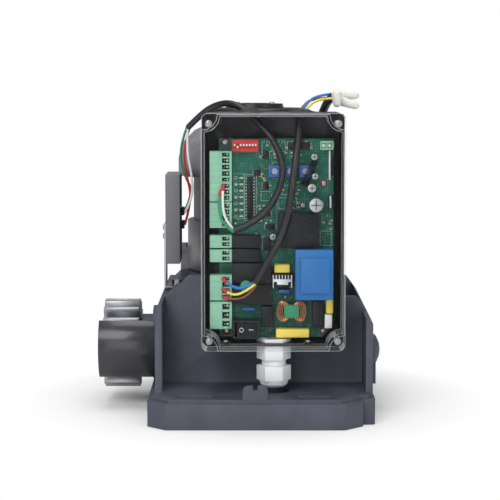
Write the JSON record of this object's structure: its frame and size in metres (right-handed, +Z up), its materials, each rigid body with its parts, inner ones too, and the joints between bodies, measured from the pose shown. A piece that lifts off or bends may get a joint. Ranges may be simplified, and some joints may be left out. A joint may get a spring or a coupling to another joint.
{
  "type": "sliding gate motor",
  "caption": "Sliding gate motor with a cast base, worm gear drive, toothed pinion, manual release and a control box with clear lid.",
  "frame": {"origin": "centre of the four anchor slots, on the underside of the base", "axes": "+X to the right seen from the control box, with the pinion on the -X side; +Y to the back, away from the control box; +Z up"},
  "size_m": [0.2503, 0.28, 0.2825],
  "materials": {
    "cast_housing": "dark grey paint on a rough casting",
    "motor_aluminium": "as cast, satin",
    "steel": "turned steel",
    "zinc": "zinc plated",
    "bronze": "machined bronze",
    "copper": "enamelled copper wire",
    "black_plastic": "fine grained",
    "guard_plastic": "glossy, lightly scuffed",
    "clear_plastic": "clear polycarbonate",
    "white_nylon": "white nylon",
    "rubber": "soft black rubber",
    "board_green": "solder mask",
    "terminal_green": "moulded",
    "component_black": "moulded",
    "transformer_blue": "potted",
    "capacitor_mix": "film and electrolytic",
    "choke_green": "coated ferrite",
    "switch_red": "moulded",
    "switch_white": "moulded",
    "trimmer_blue": "moulded",
    "limit_grey": "grey paint",
    "wire_mix": "coloured wire insulation"
  },
  "bodies": {
    "base": {"base_casting": "cast_housing", "gearbox_cover": "cast_housing", "bearing_housing": "steel", "output_bearings": "steel", "output_seal": "rubber", "motor_bearings": "steel", "motor_lower_bell": "motor_aluminium", "motor_upper_bell": "motor_aluminium", "stator_core": "steel", "stator_windings": "copper", "motor_cap": "black_plastic", "box_body": "black_plastic", "box_lid": "clear_plastic", "lid_gasket": "rubber", "rubber_bushes": "rubber", "gland_body": "white_nylon", "gland_dome_nut": "white_nylon", "gland_locknut": "white_nylon", "circuit_board": "board_green", "terminal_blocks": "terminal_green", "relays": "component_black", "transformer": "transformer_blue", "capacitors": "capacitor_mix", "choke": "choke_green", "dip_switch": "switch_red", "trimmers": "trimmer_blue", "rocker_frame": "component_black", "limit_box": "limit_grey", "limit_board": "board_green", "limit_bracket": "zinc", "pinion_guard": "guard_plastic", "pan_head_screws": "zinc", "cap_head_screws": "zinc", "limit_cable": "rubber", "motor_cable": "rubber", "motor_lead": "rubber", "cable_wires": "wire_mix", "crimp_caps": "white_nylon"},
    "output": {"output_shaft": "steel", "pinion": "zinc", "pinion_fixings": "zinc", "worm_wheel": "bronze", "clutch_spring": "steel"},
    "clutch": {"clutch_ring": "steel"},
    "rotor": {"motor_shaft": "steel", "rotor_core": "steel"},
    "release": {"release_lever": "cast_housing"},
    "fork": {"shift_fork": "steel"},
    "rocker": {"rocker": "component_black"},
    "slider_1": {"dip_slider_1": "switch_white"},
    "slider_2": {"dip_slider_2": "switch_white"},
    "slider_3": {"dip_slider_3": "switch_white"},
    "slider_4": {"dip_slider_4": "switch_white"},
    "slider_5": {"dip_slider_5": "switch_white"},
    "slider_6": {"dip_slider_6": "switch_white"},
    "slider_7": {"dip_slider_7": "switch_white"},
    "slider_8": {"dip_slider_8": "switch_white"},
    "trimmer_1": {"trimmer_rotor_1": "switch_white"},
    "trimmer_2": {"trimmer_rotor_2": "switch_white"},
    "trimmer_3": {"trimmer_rotor_3": "switch_white"}
  },
  "joints": [
    {"name": "output_spin", "type": "hinge", "parent": "base", "child": "output", "pos_m": [0, 0, 0.052], "axis": [1, 0, 0], "continuous": true},
    {"name": "rotor_spin", "type": "hinge", "parent": "base", "child": "rotor", "pos_m": [0, 0.05, 0.052], "axis": [0, 0, 1], "continuous": true},
    {"name": "release_turn", "type": "hinge", "parent": "base", "child": "release", "pos_m": [0, -0.038, 0.052], "axis": [1, 0, 0], "range_deg": [0, 90]},
    {"name": "fork_slide", "type": "slide", "parent": "base", "child": "fork", "axis": [1, 0, 0], "range_m": [0, 0.0045]},
    {"name": "clutch_slide", "type": "slide", "parent": "output", "child": "clutch", "axis": [1, 0, 0], "range_m": [0, 0.0045], "deforming": ["clutch_spring"]},
    {"name": "rocker_tip", "type": "hinge", "parent": "base", "child": "rocker", "pos_m": [-0.00805, -0.105, 0.07985], "axis": [0, 0, 1], "range_deg": [-20, 0]},
    {"name": "slider_1_slide", "type": "slide", "parent": "base", "child": "slider_1", "axis": [0, 0, 1], "range_m": [-0.0017, 0]},
    {"name": "slider_2_slide", "type": "slide", "parent": "base", "child": "slider_2", "axis": [0, 0, 1], "range_m": [0, 0.0017]},
    {"name": "slider_3_slide", "type": "slide", "parent": "base", "child": "slider_3", "axis": [0, 0, 1], "range_m": [-0.0017, 0]},
    {"name": "slider_4_slide", "type": "slide", "parent": "base", "child": "slider_4", "axis": [0, 0, 1], "range_m": [-0.0017, 0]},
    {"name": "slider_5_slide", "type": "slide", "parent": "base", "child": "slider_5", "axis": [0, 0, 1], "range_m": [-0.0017, 0]},
    {"name": "slider_6_slide", "type": "slide", "parent": "base", "child": "slider_6", "axis": [0, 0, 1], "range_m": [-0.0017, 0]},
    {"name": "slider_7_slide", "type": "slide", "parent": "base", "child": "slider_7", "axis": [0, 0, 1], "range_m": [-0.0017, 0]},
    {"name": "slider_8_slide", "type": "slide", "parent": "base", "child": "slider_8", "axis": [0, 0, 1], "range_m": [-0.0017, 0]},
    {"name": "trimmer_1_turn", "type": "hinge", "parent": "base", "child": "trimmer_1", "pos_m": [0.01655, -0.096, 0.2137], "axis": [0, 1, 0], "range_deg": [-135, 135]},
    {"name": "trimmer_2_turn", "type": "hinge", "parent": "base", "child": "trimmer_2", "pos_m": [0.02975, -0.096, 0.2137], "axis": [0, 1, 0], "range_deg": [-135, 135]},
    {"name": "trimmer_3_turn", "type": "hinge", "parent": "base", "child": "trimmer_3", "pos_m": [0.04255, -0.096, 0.2137], "axis": [0, 1, 0], "range_deg": [-135, 135]}
  ],
  "couplings": [
    {"joint": "rotor_spin", "follows": "output_spin", "ratio": -28},
    {"joint": "release_turn", "follows": "fork_slide", "rad_per_m": 349.07},
    {"joint": "clutch_slide", "follows": "fork_slide", "ratio": 1}
  ]
}
